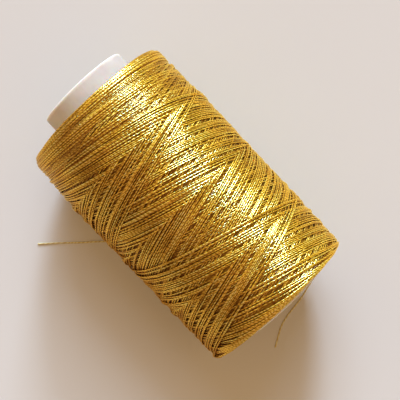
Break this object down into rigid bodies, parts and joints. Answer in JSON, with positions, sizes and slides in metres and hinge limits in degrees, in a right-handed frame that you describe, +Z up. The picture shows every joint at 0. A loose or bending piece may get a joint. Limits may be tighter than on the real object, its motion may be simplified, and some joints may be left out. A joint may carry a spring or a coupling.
{
  "type": "spool of thread",
  "caption": "Straight hollow tube with a cross-wound package of metallic gold thread, lying on its side with both thread ends loose.",
  "frame": {"origin": "on the surface that the spool lies on, under the middle of the tube's length and of the package's width", "axes": "+X along the tube towards its short bare end, +Z up, +Y sideways across the package"},
  "size_m": [0.0965, 0.0675, 0.0495],
  "materials": {
    "tube": "smooth matte white moulding",
    "thread": "twisted gold film thread, glittering"
  },
  "bodies": {
    "root": {"tube": "tube", "thread_core": "thread", "thread_turns": "thread", "outer_thread_tail": "thread", "inner_thread_tail": "thread"}
  },
  "joints": []
}
